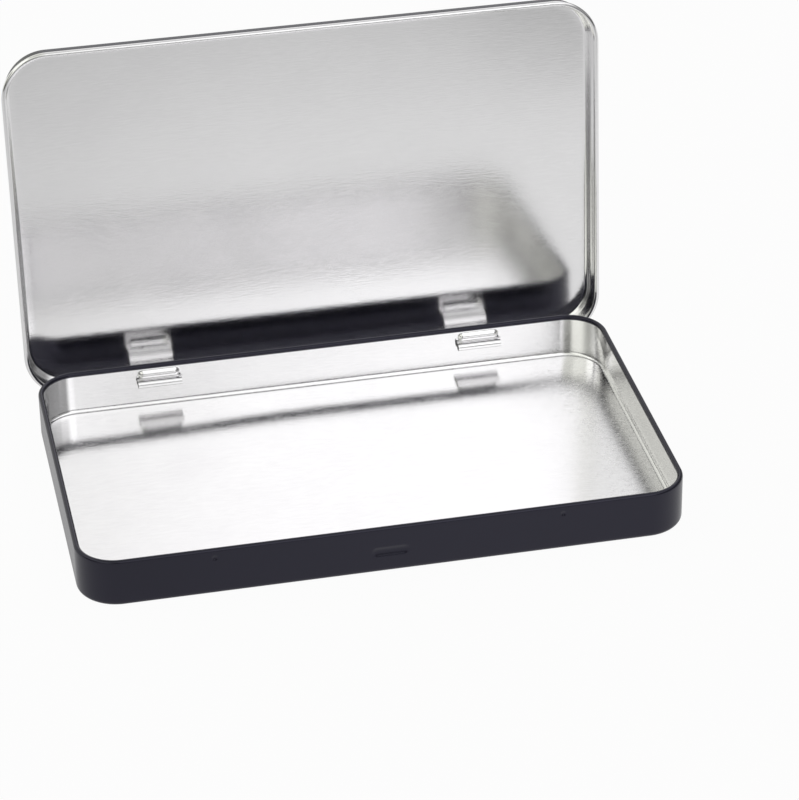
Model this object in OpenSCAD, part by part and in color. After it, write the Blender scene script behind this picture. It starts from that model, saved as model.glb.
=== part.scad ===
// Flat tinplate box in two pressings: a tray and a shallow slip lid that swings on two curled tongues.
// Millimetres. +X is the width, +Y points to the hinge side and +Z is up.
// The origin is the centre of the tray's underside, and the lid is drawn open on its stop.

/* [Base tray] */
// Width of the base across its outside faces
base_w = 190; // [160:1:230]
// Depth of the base across its outside faces
base_d = 116; // [95:1:150]
// Height of the base to the top of its rolled rim
base_h = 16; // [16:0.5:24]
// Outside corner radius of the base seen from above
corner_r = 13; // [9:0.5:20]
// Outside radius where the base wall turns into the floor
base_fillet = 1.7; // [1.3:0.1:1.9]
// Diameter of the inward roll on the base's rim
base_roll_d = 1.75; // [1.4:0.05:2]

/* [Sheet] */
// Thickness of the tinplate
sheet_t = 0.3; // [0.24:0.01:0.34]

/* [Lid] */
// Height of the lid's lower edge above the base's underside when shut
lid_rim_z = 7.5; // [6.8:0.1:8]
// Diameter of the outward roll on the lid's rim
lid_roll_d = 1.75; // [1.4:0.05:2]
// Gap between the base's rim and the lid's panel when shut
seat_gap = 0.1; // [0.05:0.05:0.4]
// Gap left between the lid's lower edge and the base's rim as the lid swings past it
swing_gap = 0.06; // [0.05:0.01:0.3]
// Outside radius where the lid wall turns into the panel
lid_fillet = 1.8; // [1.2:0.1:2.4]
// Angle from shut to the open stop
open_angle = 94; // [92:1:102]

/* [Hinges] */
// Distance between the middles of the two hinges
hinge_spacing = 108; // [70:1:120]
// Width of a hinge tongue
tongue_w = 14.5; // [10:0.5:18]
// Diameter of the curl at the end of a tongue
curl_d = 2.8; // [2.4:0.1:3]
// Distance of the hinge line behind the rear face of the base
pivot_out = 1.5; // [1.3:0.05:1.7]
// Gap between a curl and the rear wall at both ends of the swing
stop_gap = 0.08; // [0.05:0.01:0.15]
// Gap between a curl and the floor when the lid is shut
floor_gap = 0.25; // [0.2:0.05:0.5]
// Gap above and below a tongue in its window
window_gap = 0.16; // [0.06:0.02:0.2]
// Gap at each side of a tongue in its window
window_side = 0.4; // [0.2:0.05:0.8]
// Width of the relief cut at each side of a tongue in the lid wall
relief_w = 0.8; // [0.5:0.1:1.2]

/* [Bridge beads] */
// Length of the bead pressed inwards above a window
bead_w = 13.4; // [9:0.1:16]
// Height of the bead
bead_h = 2.6; // [1.8:0.1:2.8]
// Depth of the bead
bead_depth = 0.8; // [0.4:0.1:1]

/* [Snap dents and thumb scoop] */
// Distance between the two snap dents on the front
dent_spacing = 108; // [60:1:130]
// Width of a snap dent
dent_w = 2; // [1.4:0.1:2.2]
// Depth of the base's snap dent
base_dent_depth = 0.35; // [0.2:0.05:0.45]
// Distance of the base's snap dent below the rim
base_dent_drop = 3; // [3:0.1:4]
// Depth of the lid's snap dent
lid_dent_depth = 0.12; // [0.06:0.01:0.14]
// Height of the lid's snap dent above the lid's lower edge
lid_dent_rise = 3.5; // [3.2:0.1:4.2]
// Width of the thumb scoop that lies half under the lid's rim
scoop_w = 12; // [8:0.5:18]
// Height of the thumb scoop
scoop_h = 3.6; // [2.6:0.1:4]
// Depth of the thumb scoop
scoop_depth = 0.5; // [0.3:0.05:0.7]

/* [Hidden] */
$fn = 64;
LACQUER = "#2a282d";
TINPLATE = "#c9cacc";

// A tongue's curl swings evenly to either side of level with the hinge line, so the inside of the
// rear wall stops it at both ends of the swing, and it just clears the floor when the lid is shut
curl_r = curl_d / 2;
half_swing = open_angle / 2;
curl_arm = (pivot_out + sheet_t + stop_gap + curl_r) / cos(half_swing);
pivot_y = base_d / 2 + pivot_out;
pivot_z = sheet_t + floor_gap + curl_r + curl_arm * sin(half_swing);
curl_angle = 180 + half_swing;

// The tongue is an arc about the hinge line, so it slides through a window little taller than itself
tongue_r = curl_arm + sheet_t / 2;
sill_z = pivot_z + sqrt(pow(tongue_r - sheet_t, 2) - pow(pivot_out + sheet_t, 2)) - window_gap;
head_z = pivot_z + sqrt(pow(tongue_r, 2) - pow(pivot_out, 2)) + window_gap;
bead_z = head_z + bead_h / 2 + sheet_t;

// The lid's front edge swings inwards as it rises past the rim, which sets the gap round the base.
// The gap is rounded up to a hundredth, as on a tool drawing.
front_y = base_d + pivot_out;
edge_rise = pow(base_h - pivot_z, 2) - pow(lid_rim_z - pivot_z, 2);
lid_gap = ceil(100 * (sqrt(pow(front_y + swing_gap, 2) + edge_rise) - front_y)) / 100;
lid_w = base_w + 2 * (lid_gap + sheet_t);
lid_d = base_d + 2 * (lid_gap + sheet_t);
lid_corner_r = corner_r + lid_gap + sheet_t;
lid_top_z = base_h + seat_gap + sheet_t;

// A bend tangent to the lid wall and to the tongue joins the two
bend_r = 2 * sheet_t;
bend_y = lid_d / 2 - bend_r;
bend_z = pivot_z + sqrt(pow(tongue_r + bend_r - sheet_t, 2) - pow(bend_y - pivot_y, 2));
bend_angle = atan2(bend_z - pivot_z, bend_y - pivot_y);

// Turn of a rim's roll, and of a tongue's curl after the tongue has entered it
roll_turn = 300;
curl_turn = 335;

// The part of a flat ring between two angles
module ring_part(r, from, to) {
    steps = 6;
    reach = 2 * r;
    intersection() {
        difference() {
            circle(r);
            circle(r - sheet_t);
        }
        polygon(concat([[0, 0]], [
            for (i = [0:steps]) reach * [cos(from + (to - from) * i / steps), sin(from + (to - from) * i / steps)]
        ]));
    }
}

// The base's wall in section: x points outwards from its outside face
module base_section() {
    r = base_roll_d / 2;
    translate([-sheet_t, base_fillet]) square([sheet_t, base_h - r - base_fillet]);
    translate([-base_fillet, base_fillet]) ring_part(base_fillet, -90, 0);
    translate([-r, base_h - r]) ring_part(r, 0, roll_turn);
}

// The shut lid's wall in section: x points outwards from its outside face
module lid_section() {
    r = lid_roll_d / 2;
    translate([-sheet_t, lid_rim_z + r]) square([sheet_t, lid_top_z - lid_fillet - lid_rim_z - r]);
    translate([-lid_fillet, lid_top_z - lid_fillet]) ring_part(lid_fillet, 0, 90);
    translate([r - sheet_t, lid_rim_z + r]) ring_part(r, 180, 180 + roll_turn);
}

// A section carried round a rectangle w by d with corners of radius r
module carry_round(w, d, r) {
    for (turn = [0, 180]) {
        rotate(turn) translate([r - w / 2, d / 2, 0]) rotate([90, 0, 90]) linear_extrude(w - 2 * r) children();
        rotate(turn + 90) translate([r - d / 2, w / 2, 0]) rotate([90, 0, 90]) linear_extrude(d - 2 * r) children();
        rotate(turn) translate([w / 2 - r, d / 2 - r, 0])
            rotate_extrude(angle = 90) translate([r, 0]) children();
        rotate(turn) translate([r - w / 2, d / 2 - r, 0]) rotate(90)
            rotate_extrude(angle = 90) translate([r, 0]) children();
    }
}

// A flat sheet w by d with corners of radius r
module plate(w, d, r) {
    linear_extrude(sheet_t) {
        square([w, d - 2 * r], center = true);
        square([w - 2 * r, d], center = true);
        for (sx = [-1, 1], sy = [-1, 1]) translate([sx * (w / 2 - r), sy * (d / 2 - r)]) circle(r);
    }
}

// A round-ended bar along X whose section is a circle of radius r
module bar(span, r) {
    if (span > 0) rotate([0, 90, 0]) cylinder(h = span, r = r, center = true);
    for (end = [-1, 1]) translate([end * span / 2, 0, 0]) sphere(r);
}

// Radius of the round tool that presses a dent of height h and a given depth
function press_r(h, depth) = (h * h / 4 + depth * depth) / (2 * depth);

// A dent is pressed towards -Y in a sheet whose outside face is the plane y = 0:
// the metal behind it, and the hollow in front of it
module dent_metal(w, h, depth) {
    r = press_r(h, depth);
    intersection() {
        translate([0, r - depth, 0]) bar(w - h, r + sheet_t);
        translate([-w, -depth - 2 * sheet_t, -h]) cube([2 * w, depth + 1.5 * sheet_t, 2 * h]);
    }
}
module dent_hollow(w, h, depth) {
    r = press_r(h, depth);
    translate([0, r - depth, 0]) bar(w - h, r);
}

// Places on the rear wall over each hinge, and on the front wall at each snap dent
module at_bridges() {
    for (side = [-1, 1]) translate([side * hinge_spacing / 2, base_d / 2, bead_z]) children();
}
module at_dents(y, z) {
    for (side = [-1, 1]) translate([side * dent_spacing / 2, -y, z]) rotate(180) children();
}
module at_scoop() {
    translate([0, -base_d / 2, lid_rim_z]) rotate(180) children();
}

module base_tray() {
    dent_z = base_h - base_dent_drop;
    window_w = tongue_w + 2 * window_side;
    color(LACQUER) difference() {
        union() {
            carry_round(base_w, base_d, corner_r) base_section();
            plate(base_w - 2 * base_fillet, base_d - 2 * base_fillet, corner_r - base_fillet);
            at_bridges() dent_metal(bead_w, bead_h, bead_depth);
            at_dents(base_d / 2, dent_z) dent_metal(dent_w, dent_w, base_dent_depth);
            at_scoop() dent_metal(scoop_w, scoop_h, scoop_depth);
        }
        at_bridges() dent_hollow(bead_w, bead_h, bead_depth);
        at_dents(base_d / 2, dent_z) dent_hollow(dent_w, dent_w, base_dent_depth);
        at_scoop() dent_hollow(scoop_w, scoop_h, scoop_depth);
        for (side = [-1, 1])
            translate([side * hinge_spacing / 2 - window_w / 2, base_d / 2 - 2 * sheet_t, sill_z])
                cube([window_w, 3 * sheet_t, head_z - sill_z]);
    }
}

// Swings what is drawn shut about the hinge line to the open stop
module opened() {
    translate([0, pivot_y, pivot_z]) rotate([-open_angle, 0, 0]) translate([0, -pivot_y, -pivot_z]) children();
}

module lid_shell() {
    cut_w = tongue_w + 2 * relief_w;
    dent_z = lid_rim_z + lid_dent_rise;
    color(LACQUER) opened() difference() {
        union() {
            carry_round(lid_w, lid_d, lid_corner_r) lid_section();
            translate([0, 0, lid_top_z - sheet_t])
                plate(lid_w - 2 * lid_fillet, lid_d - 2 * lid_fillet, lid_corner_r - lid_fillet);
            at_dents(lid_d / 2, dent_z) dent_metal(dent_w, dent_w, lid_dent_depth);
        }
        at_dents(lid_d / 2, dent_z) dent_hollow(dent_w, dent_w, lid_dent_depth);
        for (side = [-1, 1])
            translate([side * hinge_spacing / 2 - cut_w / 2, lid_d / 2 - 2 * sheet_t, lid_rim_z - sheet_t])
                cube([cut_w, lid_roll_d + 2 * sheet_t, bend_z - lid_rim_z + sheet_t]);
    }
}

// A tongue's section in the Y-Z plane, shut: the bend, the arc and the curl that closes on itself
module tongue_section() {
    entry = 2 * asin((curl_r - sheet_t / 2) / (2 * curl_arm));
    entry_angle = curl_angle - entry / 2 - 90;
    translate([pivot_y, pivot_z]) {
        rotate(bend_angle) {
            ring_part(tongue_r, 0, curl_angle - entry - bend_angle);
            translate([tongue_r + bend_r - sheet_t, 0]) ring_part(bend_r, 180, 360 - bend_angle);
        }
        translate(curl_arm * [cos(curl_angle), sin(curl_angle)])
            ring_part(curl_r, entry_angle, entry_angle + curl_turn);
    }
}

module hinge_tongue(side) {
    color(TINPLATE) opened() translate([side * hinge_spacing / 2 - tongue_w / 2, 0, 0])
        rotate([90, 0, 90]) linear_extrude(tongue_w) tongue_section();
}

base_tray();
lid_shell();
hinge_tongue(-1);  // hinge_tongue_left
hinge_tongue(1);  // hinge_tongue_right
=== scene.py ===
# Flat hinged tin, open on its stop: two lacquered tinplate pressings on a pale table.
import bpy, bmesh, math
import numpy as np
from mathutils import Matrix, Vector


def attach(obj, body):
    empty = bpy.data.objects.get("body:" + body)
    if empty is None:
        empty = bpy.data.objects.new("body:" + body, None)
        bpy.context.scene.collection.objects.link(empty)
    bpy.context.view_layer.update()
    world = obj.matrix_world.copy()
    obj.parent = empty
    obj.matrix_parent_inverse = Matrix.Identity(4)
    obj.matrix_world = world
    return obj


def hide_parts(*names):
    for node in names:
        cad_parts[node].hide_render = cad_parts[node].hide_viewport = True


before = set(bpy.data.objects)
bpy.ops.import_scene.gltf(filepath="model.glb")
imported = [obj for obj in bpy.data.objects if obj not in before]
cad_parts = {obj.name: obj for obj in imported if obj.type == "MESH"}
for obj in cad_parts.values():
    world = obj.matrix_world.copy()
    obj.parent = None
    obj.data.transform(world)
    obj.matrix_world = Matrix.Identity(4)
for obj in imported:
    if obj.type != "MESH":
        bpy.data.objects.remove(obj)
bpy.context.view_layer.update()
print("frame loaded")

mm = 0.001

# sizes in millimetres and turns in degrees, as in the CAD part
sheet = {"thick": 0.3, "rollTurn": 300}
base = {"w": 190, "d": 116, "h": 16, "corner": 13, "fillet": 1.7, "roll": 1.75}
lid = {"gap": 0.52, "rim": 7.5, "top": 16.4, "roll": 1.75, "fillet": 1.8, "relief": 0.8, "opened": 94}
hinge = {"spacing": 108, "width": 14.5, "curl": 2.8, "behind": 1.5, "stop": 0.08, "floor": 0.25, "gap": 0.16,
         "side": 0.4}
bead = {"w": 13.4, "h": 2.6, "depth": 0.8}
dent = {"spacing": 108, "w": 2.0, "baseDepth": 0.35, "baseDrop": 3.0, "lidDepth": 0.12, "lidRise": 3.5}
scoop = {"w": 12, "h": 3.6, "depth": 0.5}

# how finely a sheet is divided: the steps in each turn, the reach and spacing of the columns that cross a window, a
# dent and the scoop, the distance kept between the innermost ring and its hub, the angle that shows as a sharp edge,
# and how close, in metres, two points are when they become one
fineness = {"corner": 20, "fillet": 10, "roll": 30, "arc": 50, "curl": 60, "window": (7.0, 0.35), "dent": (1.2, 0.2),
            "scoop": (6.5, 0.5), "flatRings": 6, "hub": 1.0, "crease": 38, "weld": 1e-7}
pressEase = 1.35  # how gently a pressing starts
facing = 0.999  # a column whose direction has more than this along y is on the front or the rear wall
rearBand = 2  # how far in from the rear face a cell is still on the rear wall

# the hinge line and the arc that a tongue slides along, by the part's own rules
t = sheet["thick"]
tongueX = (-hinge["spacing"] / 2, hinge["spacing"] / 2)
dentX = (-dent["spacing"] / 2, dent["spacing"] / 2)
curlR = hinge["curl"] / 2
halfSwing = math.radians(lid["opened"] / 2)
curlArm = (hinge["behind"] + t + hinge["stop"] + curlR) / math.cos(halfSwing)
pivot = np.array([base["d"] / 2 + hinge["behind"], t + hinge["floor"] + curlR + curlArm * math.sin(halfSwing)])
tongueR = curlArm + t / 2
sill = pivot[1] + math.sqrt((tongueR - t) ** 2 - (hinge["behind"] + t) ** 2) - hinge["gap"]
head = pivot[1] + math.sqrt(tongueR ** 2 - hinge["behind"] ** 2) + hinge["gap"]
beadZ = head + bead["h"] / 2 + t
lidW, lidD = base["w"] + 2 * (lid["gap"] + t), base["d"] + 2 * (lid["gap"] + t)
lidCorner = base["corner"] + lid["gap"] + t
# centre of the bend off the lid wall, whose inside radius is one thickness
bendY = lidD / 2 - 2 * t
bendZ = pivot[1] + math.sqrt((tongueR + t) ** 2 - (bendY - pivot[0]) ** 2)


def around(middle, reachAndStep):
    # evenly spaced places either side of a middle
    reach, step = reachAndStep
    return middle + np.arange(-reach, reach + 0.01, step)


def columnsRound(w, d, r, rearX, frontX):
    # a rounded rectangle as columns: each has a centre c and a direction n, and its outside face is at c + r n
    hx, hy, steps = w / 2 - r, d / 2 - r, fineness["corner"]
    turn = np.linspace(0, math.pi / 2, steps + 1)
    cx, cy, ang = [], [], []
    for k, (sx, sy) in enumerate([(1, 1), (-1, 1), (-1, -1), (1, -1)]):
        cx += [np.full(steps + 1, sx * hx)]
        cy += [np.full(steps + 1, sy * hy)]
        ang += [turn + k * math.pi / 2]
        straight = {0: -np.sort(-rearX), 1: np.array([]), 2: np.sort(frontX), 3: np.array([])}[k]
        cx += [straight]
        cy += [np.full(len(straight), sy * hy)]
        ang += [np.full(len(straight), (k + 1) * math.pi / 2)]
    cx, cy, ang = map(np.concatenate, (cx, cy, ang))
    return cx, cy, np.cos(ang), np.sin(ang)


def arcRow(cx, cz, r, fromDeg, toDeg, steps):
    # points on an arc in the section plane, with the direction away from its centre
    a = np.radians(np.linspace(fromDeg, toDeg, steps + 1))
    return np.c_[cx + r * np.cos(a), cz + r * np.sin(a)], np.c_[np.cos(a), np.sin(a)]


def pressDepth(x, z, x0, z0, w, h, depth):
    # depth of a round-ended pressing: full on its middle line, easing to nothing at half its height
    away = np.hypot(np.maximum(np.abs(x - x0) - (w - h) / 2, 0), z - z0) / (h / 2)
    return depth * np.clip(1 - away ** 2, 0, 1) ** pressEase


def sheetObject(name, mid, nrm, keep, sides, patch=None, closed=True):
    # mid and nrm are (columns, rows, 3) grids of the sheet's middle and its outward direction. Both faces lie half a
    # thickness from the middle, and every edge of what keep leaves is closed by a strip between them. The materials
    # in sides are for the outside, the inside, the cells in patch and the cut edges.
    ni, nj = mid.shape[:2]
    verts = np.concatenate([(mid + nrm * t / 2).reshape(-1, 3), (mid - nrm * t / 2).reshape(-1, 3)]) * mm
    fi = ni if closed else ni - 1
    i, j = np.meshgrid(np.arange(fi), np.arange(nj - 1), indexing="ij")
    at = lambda a, b, s: (a % ni) * nj + b + s * ni * nj
    k = keep.astype(bool)
    a, b = i[k], j[k]
    outer = np.c_[at(a, b, 0), at(a + 1, b, 0), at(a + 1, b + 1, 0), at(a, b + 1, 0)]
    inner = np.c_[at(a, b, 1), at(a, b + 1, 1), at(a + 1, b + 1, 1), at(a + 1, b, 1)]
    faces, mats = [outer, inner], [np.zeros(len(a), int), np.ones(len(a), int)]
    if patch is not None:
        mats[0][patch[k]] = 2
    padJ = np.pad(k, ((0, 0), (1, 1)))
    for low in (0, 1):  # edges that run along the columns' direction
        e = padJ[:, 1:] & ~padJ[:, :-1] if low == 0 else padJ[:, :-1] & ~padJ[:, 1:]
        a, b = np.nonzero(e)
        q = np.c_[at(a, b, 0), at(a, b, 1), at(a + 1, b, 1), at(a + 1, b, 0)]
        faces.append(q if low == 0 else q[:, ::-1])
        mats.append(np.full(len(a), 3))
    before = np.roll(k, 1, 0) if closed else np.pad(k, ((1, 0), (0, 0)))[:-1]
    after = np.roll(k, -1, 0) if closed else np.pad(k, ((0, 1), (0, 0)))[1:]
    for low in (0, 1):  # edges that run along the rows' direction
        e = k & ~(before if low == 0 else after)
        a, b = np.nonzero(e)
        c = a if low == 0 else a + 1
        q = np.c_[at(c, b, 0), at(c, b + 1, 0), at(c, b + 1, 1), at(c, b, 1)]
        faces.append(q if low == 0 else q[:, ::-1])
        mats.append(np.full(len(a), 3))
    faces, mats = np.concatenate(faces), np.concatenate(mats)
    mesh = bpy.data.meshes.new(name)
    mesh.from_pydata(verts.tolist(), [], faces.tolist())
    mesh.polygons.foreach_set("material_index", mats.astype(np.int32))
    cleaned = bmesh.new()
    cleaned.from_mesh(mesh)
    bmesh.ops.remove_doubles(cleaned, verts=cleaned.verts, dist=fineness["weld"])
    loose = [v for v in cleaned.verts if not v.link_faces]
    bmesh.ops.delete(cleaned, geom=loose, context="VERTS")
    cleaned.to_mesh(mesh)
    cleaned.free()
    for m in sides:
        mesh.materials.append(m)
    mesh.shade_smooth()
    mesh.set_sharp_from_angle(angle=math.radians(fineness["crease"]))
    obj = bpy.data.objects.new(name, mesh)
    bpy.context.scene.collection.objects.link(obj)
    print(name, len(mesh.polygons), "faces")
    return obj


def sweepGrid(cols, r, rows, away):
    # carries a section round the columns: rows are (offset from the outside face, height), away the outward side
    cx, cy, nx, ny = cols
    o = r + rows[None, :, 0]
    mid = np.stack([cx[:, None] + o * nx[:, None], cy[:, None] + o * ny[:, None],
                    np.broadcast_to(rows[None, :, 1], (len(cx), len(rows)))], -1)
    nrm = np.stack([away[None, :, 0] * nx[:, None], away[None, :, 0] * ny[:, None],
                    np.broadcast_to(away[None, :, 1], (len(cx), len(rows)))], -1)
    return mid, nrm


def swung(points, degrees):
    # turns points or directions drawn shut about the hinge line
    a = math.radians(degrees)
    y, z = points[..., 1], points[..., 2]
    return np.stack([points[..., 0], y * math.cos(a) - z * math.sin(a), y * math.sin(a) + z * math.cos(a)], -1)


def opened(points):
    # moves points drawn shut to where the open lid has them
    middle = np.array([0, pivot[0], pivot[1]])
    return swung(points - middle, -lid["opened"]) + middle


def rearCells(mid, depth):
    # for each cell of a grid: its height, its distance from the nearer tongue's middle, and whether it is on the rear
    following = np.roll(mid[:, :-1], -1, 0)
    across = (mid[:, :-1, 0] + following[..., 0]) / 2
    height = (mid[:, :-1, 2] + mid[:, 1:, 2]) / 2
    fromTongue = np.minimum(np.abs(across - tongueX[1]), np.abs(across - tongueX[0]))
    onRear = (mid[:, :-1, 1] > depth / 2 - rearBand) & (following[..., 1] > depth / 2 - rearBand)
    return height, fromTongue, onRear


class Sock:
    # a socket or a number in a node tree: sums on it add Math nodes
    def __init__(self, tree, value):
        self.tree, self.value = tree, value

    def math(self, operation, *others):
        node = self.tree.nodes.new("ShaderNodeMath")
        node.operation = operation
        for slot, v in zip(node.inputs, (self, *others)):
            v = v.value if isinstance(v, Sock) else v
            if isinstance(v, (int, float)):
                slot.default_value = v
            else:
                self.tree.links.new(v, slot)
        return Sock(self.tree, node.outputs[0])

    def __add__(self, o): return self.math("ADD", o)
    def __mul__(self, o): return self.math("MULTIPLY", o)
    def __sub__(self, o): return self.math("SUBTRACT", o)
    def __truediv__(self, o): return self.math("DIVIDE", o)
    def __rsub__(self, o): return Sock(self.tree, o).math("SUBTRACT", self)
    __radd__, __rmul__ = __add__, __mul__

    def between(self, low, high):  # 0 below low, 1 above high, smooth between them
        return Maker(self.tree).node("ShaderNodeMapRange", {"interpolation_type": "SMOOTHSTEP"},
                                     {"Value": self, "From Min": low, "From Max": high}, "Result")


class Maker:
    # adds nodes to one material or world
    def __init__(self, tree):
        self.tree = tree

    def node(self, kind, settings, sockets, output=0):
        node = self.tree.nodes.new(kind)
        for key, v in settings.items():
            setattr(node, key, v)
        for key, v in sockets.items():
            slot = node.inputs[key]
            v = v.value if isinstance(v, Sock) else v
            if isinstance(v, bpy.types.NodeSocket):
                self.tree.links.new(v, slot)
            else:
                slot.default_value = v
        return Sock(self.tree, node.outputs[output])

    def outputs(self, kind, sockets, *names):  # several outputs of one node
        first = self.node(kind, {}, sockets, names[0])
        return [Sock(self.tree, first.value.node.outputs[n]) for n in names]

    def place(self, alongX=1):  # object coordinates in millimetres, with x shrunk to draw a pattern out along it
        coords = self.node("ShaderNodeTexCoord", {}, {}, "Object")
        return self.node("ShaderNodeMapping", {}, {"Vector": coords, "Scale": (alongX / mm, 1 / mm, 1 / mm)})

    def noise(self, alongX, scale, detail=2, rough=0.5):
        return self.node("ShaderNodeTexNoise", {}, {"Vector": self.place(alongX), "Scale": scale, "Detail": detail,
                                                    "Roughness": rough}, "Fac")

    def mix(self, factor, a, b):  # inputs 6 and 7 and output 2 of a mix node are its colours
        return self.node("ShaderNodeMix", {"data_type": "RGBA"}, {"Factor": factor, 6: a, 7: b}, 2)

    def bump(self, height, strength, distance):
        return self.node("ShaderNodeBump", {}, {"Height": height, "Strength": strength, "Distance": distance * mm})


def newMaterial(name):
    m = bpy.data.materials.new(name)
    m.use_nodes = True
    return m, Maker(m.node_tree), m.node_tree.nodes["Principled BSDF"]


def finishWith(mk, shader, **sockets):
    for key, v in sockets.items():
        slot = shader.inputs[key.replace("_", " ")]
        if isinstance(v, Sock):
            mk.tree.links.new(v.value, slot)
        else:
            slot.default_value = v


# each noise is its drawing out along x, then its scale, detail and roughness
lacquer = {"colour": (0.003, 0.003, 0.009, 1), "pale": (0.005, 0.005, 0.013, 1), "tint": (0.80, 0.78, 1, 1),
           "rough": 0.22, "gloss": 0.56, "drift": (1, 0.035, 3), "driftRough": 0.05, "speck": (1, 0.6, 4, 0.6),
           "speckRough": 0.08, "peel": (1, 2.2, 2), "peelStrength": 0.10, "peelDepth": 0.02}


def blackLacquer(name):
    # satin lacquer: a dark colour that drifts a little, a fine orange peel and a soft gloss
    m, mk, shader = newMaterial(name)
    drift, peel, speck = (mk.noise(*lacquer[k]) for k in ("drift", "peel", "speck"))
    uneven = lacquer["driftRough"] * (drift - 0.5) + lacquer["speckRough"] * (speck - 0.5)
    finishWith(mk, shader, Base_Color=mk.mix(drift, lacquer["colour"], lacquer["pale"]),
               Roughness=lacquer["rough"] + uneven, Specular_IOR_Level=lacquer["gloss"],
               Specular_Tint=lacquer["tint"], Normal=mk.bump(peel, lacquer["peelStrength"], lacquer["peelDepth"]))
    return m


tinplate = {"colour": (0.908, 0.904, 0.91, 1), "dull": (0.86, 0.855, 0.862, 1), "rough": 0.13, "relief": 0.018,
            "short": (0.14, 1.9, 2, 0.55), "fine": (0.30, 4.5, 1, 0.5), "mottle": (1, 0.05, 3, 0.6),
            "shortShare": 0.65, "scratchRough": 0.16, "mottleRough": 0.06, "scratchShade": 0.6,
            "shadeRange": (0.35, 0.65)}
# the floor's rise starts at y from and is full after over; leftShare of it is left at the left end of leftRange
floorRise = {"from": 13, "over": 45, "power": 2.5, "wallStarts": (0.35, 1.4), "leftShare": 0.55, "leftRange": (-90, 0)}
handledEnd = {"range": (45, 85), "rough": 0.10, "blotch": (0.6, 0.9, 3, 0.6), "blotchRough": 0.30, "blotchMean": 0.4}


def brightTinplate(name, grain=1.0, rough=0.0, dish=0.0):
    # bare tinplate: a metal with short fine scratches along the rolling direction, which is x, and a faint mottle.
    # With a dish, the floor also rises a little towards the rear wall, which draws the mirrored wall together, and
    # its right end is duller from handling.
    m, mk, shader = newMaterial(name)
    short, fine, mottle = (mk.noise(*tinplate[k]) for k in ("short", "fine", "mottle"))
    mixed = tinplate["shortShare"] * short + (1 - tinplate["shortShare"]) * fine
    scratches = (tinplate["relief"] * grain) * mixed
    normal = mk.bump(scratches, 1.0, 1.0)
    dull = tinplate["scratchRough"] * grain * (mixed - 0.5) + tinplate["mottleRough"] * (mottle - 0.5)
    if dish:
        x, y, z = mk.outputs("ShaderNodeSeparateXYZ", {"Vector": mk.place()}, "X", "Y", "Z")
        rise = ((y - floorRise["from"]) / floorRise["over"]).math("MAXIMUM", 0.0).math("POWER", floorRise["power"])
        leftward = floorRise["leftShare"] + (1 - floorRise["leftShare"]) * x.between(*floorRise["leftRange"])
        onFloor = 1 - z.between(*floorRise["wallStarts"])
        risen = mk.bump(scratches + dish * rise * leftward, 1.0, 1.0)
        # inputs 4 and 5 and output 1 of a mix node are its vectors
        normal = mk.node("ShaderNodeMix", {"data_type": "VECTOR"}, {0: onFloor, 4: normal, 5: risen}, 1)
        blotch = mk.noise(*handledEnd["blotch"]) - handledEnd["blotchMean"]
        worn = handledEnd["rough"] + handledEnd["blotchRough"] * blotch
        dull = dull + x.between(*handledEnd["range"]) * onFloor * worn
    shade = tinplate["scratchShade"] * mixed + (1 - tinplate["scratchShade"]) * mottle
    colour = mk.mix(shade.between(*tinplate["shadeRange"]), tinplate["dull"], tinplate["colour"])
    finishWith(mk, shader, Base_Color=colour, Metallic=1.0, Roughness=tinplate["rough"] + rough + dull, Normal=normal)
    return m


blackSide = blackLacquer("blackLacquer")
blackLid = blackLacquer("blackLacquerLid")
tinSide = brightTinplate("brightTinplate", rough=-0.01, dish=3.0)
tinLid = brightTinplate("brightTinplateLid")
tinCurl = brightTinplate("polishedCurl", grain=0.25, rough=-0.03)
barePatch = brightTinplate("bareOutside", grain=0.7)
cutEdge = brightTinplate("cutEdge", grain=0.6, rough=0.08)
print("materials made")

# rows of the base's wall: one above the fillet, then from, to and spacing through the scoop and through beads and dents
wallRows = {"low": 3.4, "scoop": (5.4, 9.7, 0.3), "dents": (11.1, 14.5, 0.2)}
# the bare metal over each window: how far it goes past the tongue, past the rim's start, and how deep a bead it covers
bare = {"past": 0.1, "up": 0.2, "deep": 0.6}


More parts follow.
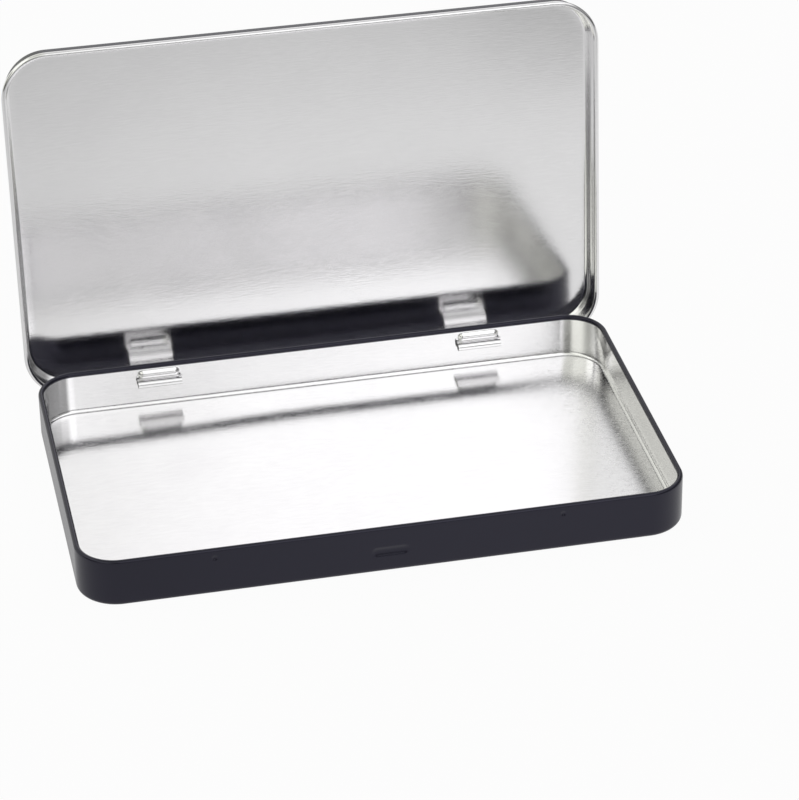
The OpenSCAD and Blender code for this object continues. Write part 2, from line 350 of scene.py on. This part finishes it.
def makeBase():
    # one sheet from the middle of the floor, up the wall and round the inward roll
    r, f, high = base["roll"] / 2, base["fillet"], base["h"]
    half = hinge["width"] / 2 + hinge["side"]
    rearX = np.concatenate([np.r_[around(c, fineness["window"]), c - half, c + half] for c in tongueX])
    frontX = np.concatenate([around(c, fineness["dent"]) for c in dentX] + [around(0, fineness["scoop"])])
    cols = columnsRound(base["w"], base["d"], base["corner"], rearX, frontX)
    wallZ = np.unique(np.round(np.r_[f, wallRows["low"], np.arange(*wallRows["scoop"]), sill, head,
                                     np.arange(*wallRows["dents"]), high - r], 4))
    flat = np.linspace(fineness["hub"] - base["corner"], -f, fineness["flatRings"])[:-1]
    turn, turnN = arcRow(-f, f, f - t / 2, -90, 0, fineness["fillet"])
    roll, rollN = arcRow(-r, high - r, r - t / 2, 0, sheet["rollTurn"], fineness["roll"])
    rows = np.concatenate([np.c_[flat, np.full(len(flat), t / 2)], turn,
                           np.c_[np.full(len(wallZ) - 2, -t / 2), wallZ[1:-1]], roll])
    away = np.concatenate([np.tile([0.0, -1.0], (len(flat), 1)), turnN,
                           np.tile([1.0, 0.0], (len(wallZ) - 2, 1)), rollN])
    mid, nrm = sweepGrid(cols, base["corner"], rows, away)
    # beads over the windows, snap dents and the thumb scoop push the wall inwards
    x, z, isRear, isFront = mid[..., 0], mid[..., 2], (cols[3] > facing)[:, None], (cols[3] < -facing)[:, None]
    row, wallStart = np.arange(len(rows)), len(flat) + len(turn) - 1
    wall = (row >= wallStart) & (row <= wallStart + len(wallZ) - 1)
    rear = sum(pressDepth(x, z, c, beadZ, bead["w"], bead["h"], bead["depth"]) for c in tongueX)
    front = sum(pressDepth(x, z, c, high - dent["baseDrop"], dent["w"], dent["w"], dent["baseDepth"]) for c in dentX)
    front = front + pressDepth(x, z, 0, lid["rim"], scoop["w"], scoop["h"], scoop["depth"])
    mid[..., 1] += (front * isFront - rear * isRear) * wall[None, :]
    # the middle of the floor closes on one point
    pole = np.zeros((len(mid), 1, 3))
    pole[..., 2] = t / 2
    mid = np.concatenate([pole, mid], 1)
    nrm = np.concatenate([nrm[:, :1], nrm], 1)
    height, fromTongue, onRear = rearCells(mid, base["d"])
    window = onRear & (fromTongue < half) & (height > sill) & (height < head)
    patch = onRear & (fromTongue < hinge["width"] / 2 + bare["past"]) & (height > head)
    patch &= (height < high - r + bare["up"]) & (mid[:, :-1, 1] > base["d"] / 2 - bare["deep"])
    obj = sheetObject("baseTray", mid, nrm, ~window, [blackSide, tinSide, barePatch, cutEdge], patch)
    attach(obj, "base"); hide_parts("base_tray")


def makeLid():
    # one sheet from the middle of the panel, down the wall and round the outward roll, then swung open
    r, f, top = lid["roll"] / 2, lid["fillet"], lid["top"]
    half = hinge["width"] / 2 + lid["relief"]
    rearX = np.concatenate([[c - half, c + half] for c in tongueX])
    frontX = np.concatenate([around(c, fineness["dent"]) for c in dentX])
    cols = columnsRound(lidW, lidD, lidCorner, rearX, frontX)
    dentZ = lid["rim"] + dent["lidRise"]
    wallZ = np.unique(np.round(np.r_[lid["rim"] + r, bendZ, around(dentZ, fineness["dent"]), top - f], 4))[::-1]
    flat = np.linspace(fineness["hub"] - lidCorner, -f, fineness["flatRings"])[:-1]
    turn, turnN = arcRow(-f, top - f, f - t / 2, 90, 0, fineness["fillet"])
    roll, rollN = arcRow(r - t, lid["rim"] + r, r - t / 2, 180, 180 + sheet["rollTurn"], fineness["roll"])
    rows = np.concatenate([np.c_[flat, np.full(len(flat), top - t / 2)], turn,
                           np.c_[np.full(len(wallZ) - 2, -t / 2), wallZ[1:-1]], roll])
    away = np.concatenate([np.tile([0.0, 1.0], (len(flat), 1)), turnN,
                           np.tile([1.0, 0.0], (len(wallZ) - 2, 1)), -rollN])
    # rows run down the wall, so they are turned over to keep the faces outwards
    mid, nrm = sweepGrid(cols, lidCorner, rows[::-1], away[::-1])
    x, z, isFront = mid[..., 0], mid[..., 2], (cols[3] < -facing)[:, None]
    mid[..., 1] += sum(pressDepth(x, z, c, dentZ, dent["w"], dent["w"], dent["lidDepth"]) for c in dentX) * isFront
    pole = np.zeros((len(mid), 1, 3))
    pole[..., 2] = top - t / 2
    mid = np.concatenate([mid, pole], 1)
    nrm = np.concatenate([nrm, nrm[:, -1:]], 1)
    height, fromTongue, onRear = rearCells(mid, lidD)
    cut = onRear & (fromTongue < half) & (height < bendZ)
    obj = sheetObject("lidShell", opened(mid), swung(nrm, -lid["opened"]), ~cut, [blackLid, tinLid, tinCurl, cutEdge])
    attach(obj, "lid"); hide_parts("lid_shell")


# the curl's turn, the points along a tongue and across it, and how the corner before its curl is eased
tongue = {"curlTurn": 335, "along": 150, "across": (-1, -0.98, 0, 0.98, 1), "easePasses": 6, "easeReach": 0.5}


def makeTongue(name, node, side):
    # the middle line of a tongue in the Y-Z plane, shut: a bend off the lid wall, the arc about the hinge line and the
    # curl, carried straight along x over the tongue's width
    bendAngle = math.degrees(math.atan2(bendZ - pivot[1], bendY - pivot[0]))
    entry = math.degrees(2 * math.asin((curlR - t / 2) / (2 * curlArm)))
    curlAngle = 180 + math.degrees(halfSwing)
    centre = pivot + curlArm * np.array([math.cos(math.radians(curlAngle)), math.sin(math.radians(curlAngle))])
    first = curlAngle - entry / 2 - 90
    bend = arcRow(bendY, bendZ, 1.5 * t, 0, bendAngle - 180, fineness["fillet"])[0]
    arc = arcRow(pivot[0], pivot[1], tongueR - t / 2, bendAngle, curlAngle - entry, fineness["arc"])[0]
    curl = arcRow(centre[0], centre[1], curlR - t / 2, first, first + tongue["curlTurn"], fineness["curl"])[0]
    line = np.concatenate([bend, arc[1:], curl[1:]])
    step = np.r_[0, np.cumsum(np.hypot(*np.diff(line, axis=0).T))]
    even = np.linspace(0, step[-1], tongue["along"])
    line = np.c_[np.interp(even, step, line[:, 0]), np.interp(even, step, line[:, 1])]
    smooth = line.copy()  # eases the corner where the strip turns into its curl
    for _ in range(tongue["easePasses"]):
        smooth[1:-1] = (smooth[:-2] + 2 * smooth[1:-1] + smooth[2:]) / 4
    corner = step[fineness["fillet"] + fineness["arc"]]
    join = np.exp(-((even - corner) / tongue["easeReach"]) ** 2)[:, None]
    line = line * (1 - join) + smooth * join
    tangent = np.gradient(line, axis=0)
    tangent /= np.linalg.norm(tangent, axis=1)[:, None]
    xs = side * hinge["spacing"] / 2 + np.array(tongue["across"]) * hinge["width"] / 2
    size = (len(xs), len(line))
    mid = np.stack([np.broadcast_to(xs[:, None], size), np.broadcast_to(line[:, 0], size),
                    np.broadcast_to(line[:, 1], size)], -1)
    nrm = np.stack([np.zeros(size), np.broadcast_to(-tangent[:, 1], size), np.broadcast_to(tangent[:, 0], size)], -1)
    obj = sheetObject(name, opened(mid), swung(nrm, -lid["opened"]), np.ones((size[0] - 1, size[1] - 1)),
                      [blackLid, tinCurl, tinCurl, cutEdge], closed=False)
    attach(obj, "lid"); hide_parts(node)


makeBase()
makeLid()
makeTongue("tongueLeft", "hinge_tongue_left", -1)
makeTongue("tongueRight", "hinge_tongue_right", 1)
print("pieces made")

# reflections show the table greyer than the camera does, as painted shade where less light would reach it: near is its
# tone in them, far and left are the shares of it that remain well in front of the tin and on the left side, and
# cornerDrop is how much darker, as painted shade, the front right is. Each pair is where such an area starts and ends.
table = {"reach": (1.8, 1.6), "down": 0.02, "colour": (0.86, 0.86, 0.86, 1), "rough": 0.7, "white": 0.96,
         "near": 0.82, "far": 0.74, "farY": (-0.42, -0.07), "left": 0.85, "leftX": (-0.13, 0.04),
         "cornerDrop": 0.24, "cornerX": (0.10, 0.19), "cornerY": (-0.27, -0.17)}


def makeTable():
    # a wide flat pale sheet just under the tin, white to the camera, greyer in reflections with painted shade,
    # and with a faint shadow
    w, d = table["reach"]
    mesh = bpy.data.meshes.new("table")
    mesh.from_pydata([(x * w, y * d, -table["down"] * mm) for x, y in ((-1, -1), (1, -1), (1, 1), (-1, 1))], [],
                     [(0, 1, 2, 3)])
    m, mk, shader = newMaterial("paleTable")
    finishWith(mk, shader, Base_Color=table["colour"], Roughness=table["rough"])
    seen, gloss, through = mk.outputs("ShaderNodeLightPath", {}, "Is Camera Ray", "Is Glossy Ray",
                                      "Is Transmission Ray")
    coords = mk.node("ShaderNodeTexCoord", {}, {}, "Object")
    across, along = mk.outputs("ShaderNodeSeparateXYZ", {"Vector": coords}, "X", "Y")
    # painted shade that only reflections see: the table darkens well in front of the tin, on the left and at the front
    # right
    paintedFalloff = table["far"] + (1 - table["far"]) * along.between(*table["farY"])
    paintedFalloff = paintedFalloff * (table["left"] + (1 - table["left"]) * across.between(*table["leftX"]))
    corner = across.between(*table["cornerX"]) * (1 - along.between(*table["cornerY"]))
    paintedFalloff = paintedFalloff * (1 - table["cornerDrop"] * corner)
    strength = 1 - gloss * (1 - table["near"] * paintedFalloff)
    white = mk.node("ShaderNodeEmission", {}, {"Color": (1, 1, 1, 1), "Strength": strength})
    share = (seen + gloss + through) * table["white"]
    blend = mk.node("ShaderNodeMixShader", {}, {0: share, 1: shader.outputs[0], 2: white})
    m.node_tree.links.new(blend.value, m.node_tree.nodes["Material Output"].inputs["Surface"])
    mesh.materials.append(m)
    obj = bpy.data.objects.new("table", mesh)
    bpy.context.scene.collection.objects.link(obj)


# areas of the surroundings by their direction, whose x, y and z run from -1 to 1 with y -1 in front. Each pair is where
# an area's edge starts and ends, drop is how much darker an area is, and rise how much brighter.
surround = {"base": 0.93, "fill": 0.55, "tint": (0.90, 0.91, 0.84, 1), "tintX": (-0.10, 0.12),
            "top": {"z": (0.80, 0.97), "drop": 0.35},
            "horizon": {"z": (0.05, 0.24), "y": (-0.3, 0.1), "drop": 0.85},
            "frontLeft": {"z": (0.38, 0.58), "leftX": (-0.42, -0.25), "rightX": (-0.15, 0.20), "y": (-0.8, -0.5),
                          "drop": 0.68},
            "left": {"z": (0.42, 0.62), "x": (-0.88, -0.68), "y": (0.0, 0.25)},
            "right": {"z": (0.52, 0.72), "x": (0.30, 0.48)}, "sideDrop": 0.72,
            "front": {"z": (0.00, 0.20), "leftX": (-0.42, -0.27), "rightX": (-0.15, 0.20), "y": (-0.5, 0.1),
                      "rise": 0.26},
            "ahead": {"z": (0.32, 0.46), "x": (-0.02, 0.12), "y": (-0.6, -0.2), "rise": 0.12}}


def makeWorld():
    # near white all round and brightest in front, with a dark horizon there, darker areas low at the front left and at
    # both sides, a greyer top and a faint yellow tint on the left; the camera itself sees plain white
    world = bpy.data.worlds.new("studio")
    bpy.context.scene.world = world
    world.use_nodes = True
    mk = Maker(world.node_tree)
    back = world.node_tree.nodes["Background"]
    camera, gloss, through = mk.outputs("ShaderNodeLightPath", {}, "Is Camera Ray", "Is Glossy Ray",
                                        "Is Transmission Ray")
    seen = (camera + gloss + through).math("MINIMUM", 1.0)
    coords = mk.node("ShaderNodeTexCoord", {}, {}, "Generated")
    x, y, z = mk.outputs("ShaderNodeSeparateXYZ", {"Vector": coords}, "X", "Y", "Z")
    top, horizon, low, left, right, front, ahead = (
        surround[k] for k in ("top", "horizon", "frontLeft", "left", "right", "front", "ahead"))
    onTop = z.between(*top["z"])
    atHorizon = (1 - z.between(*horizon["z"])) * (1 - y.between(*horizon["y"]))
    atLow = (1 - z.between(*low["z"])) * (1 - x.between(*low["rightX"])) * x.between(*low["leftX"])
    atLow = atLow * (1 - y.between(*low["y"]))
    atLeft = (1 - z.between(*left["z"])) * (1 - x.between(*left["x"])) * (1 - y.between(*left["y"]))
    atRight = (1 - z.between(*right["z"])) * x.between(*right["x"])
    inFront = z.between(*front["z"]) * (1 - y.between(*front["y"]))
    inFront = inFront * (x.between(*front["rightX"]) + 1 - x.between(*front["leftX"]))
    atAhead = (1 - z.between(*ahead["z"])) * x.between(*ahead["x"]) * (1 - y.between(*ahead["y"]))
    tone = (1 - top["drop"] * onTop) * (1 - horizon["drop"] * atHorizon) * (1 - low["drop"] * atLow)
    tone = tone * (1 - surround["sideDrop"] * (atLeft + atRight))
    tone = tone * (surround["base"] + front["rise"] * inFront + ahead["rise"] * atAhead)
    untinted = x.between(*surround["tintX"]).math("MAXIMUM", camera)
    finishWith(mk, back, Color=mk.mix(untinted, surround["tint"], (1, 1, 1, 1)),
               Strength=camera + (1 - camera) * (surround["fill"] + (1 - surround["fill"]) * seen) * tone)


lamps = {"keyBox": {"at": (0.62, -1.05, 1.15), "size": (1.1, 0.9), "power": 0.5},
         "fillBox": {"at": (-0.9, 0.1, 1.0), "size": (0.7, 0.7), "power": 0.8}}
lampAim = (0, 0, 0.03)


def makeLamps():
    # wide soft lamps, each turned towards the tin
    for name, box in lamps.items():
        lamp = bpy.data.lights.new(name, "AREA")
        lamp.shape, lamp.size, lamp.size_y = "RECTANGLE", box["size"][0], box["size"][1]
        lamp.energy = box["power"]
        obj = bpy.data.objects.new(name, lamp)
        obj.location = box["at"]
        obj.rotation_euler = (Vector(lampAim) - Vector(box["at"])).to_track_quat("-Z", "Y").to_euler()
        bpy.context.scene.collection.objects.link(obj)


# the camera's place in millimetres and its own directions; focal is in pixels of a frame that is 800 on its longer side
view = {"at": (-165.497, -893.416, 567.152), "right": (0.97828, -0.20674, -0.0148),
        "ahead": (0.17032, 0.84251, -0.51104), "up": (0.11813, 0.49742, 0.85943), "focal": 3348.81, "frame": 800,
        "sensor": 36, "clip": (0.05, 20)}


def makeCamera():
    cam = bpy.data.cameras.new("camera")
    cam.sensor_width = view["sensor"]
    cam.lens = view["focal"] / view["frame"] * view["sensor"]
    cam.clip_start, cam.clip_end = view["clip"]
    obj = bpy.data.objects.new("camera", cam)
    right, up, ahead = (Vector(view[k]) for k in ("right", "up", "ahead"))
    turn = Matrix((right, up, -ahead)).transposed().to_4x4()
    obj.matrix_world = Matrix.Translation(Vector(view["at"]) * mm) @ turn
    bpy.context.scene.collection.objects.link(obj)
    bpy.context.scene.camera = obj


makeTable()
makeWorld()
makeLamps()
makeCamera()
bpy.context.scene.view_settings.view_transform = "Standard"
print("stage made")
